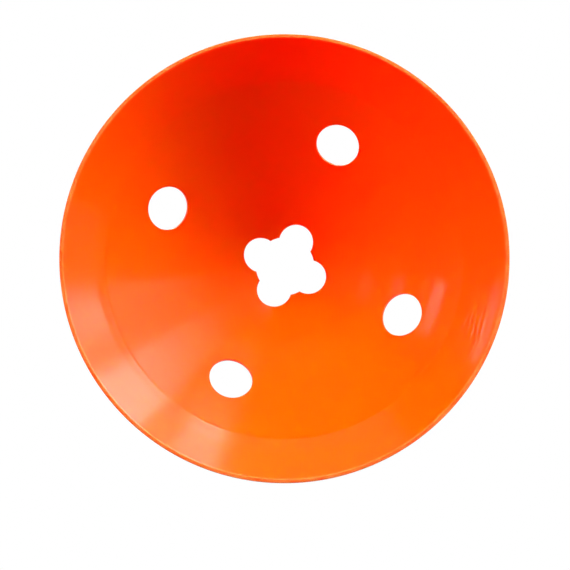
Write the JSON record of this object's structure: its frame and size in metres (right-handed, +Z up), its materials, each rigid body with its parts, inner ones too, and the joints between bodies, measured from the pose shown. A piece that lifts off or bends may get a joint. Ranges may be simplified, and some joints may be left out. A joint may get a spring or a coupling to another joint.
{
  "type": "training cone with holes",
  "caption": "Low, wide training cone: a thin conical shell open underneath, with a clover-shaped mouth at the top and round pole holes through its sides.",
  "frame": {"origin": "middle of the circle on the ground that the rim stands on", "axes": "+Z up along the cone's axis and out through the mouth; +X, +Y, -X and -Y each point at one side hole and one lobe of the mouth"},
  "size_m": [0.292, 0.292, 0.093],
  "materials": {
    "moulded_orange": "glossy moulded soft plastic, bright orange all through, slightly see-through where the light is behind it"
  },
  "bodies": {
    "root": {"cone_shell": "moulded_orange"}
  },
  "joints": []
}
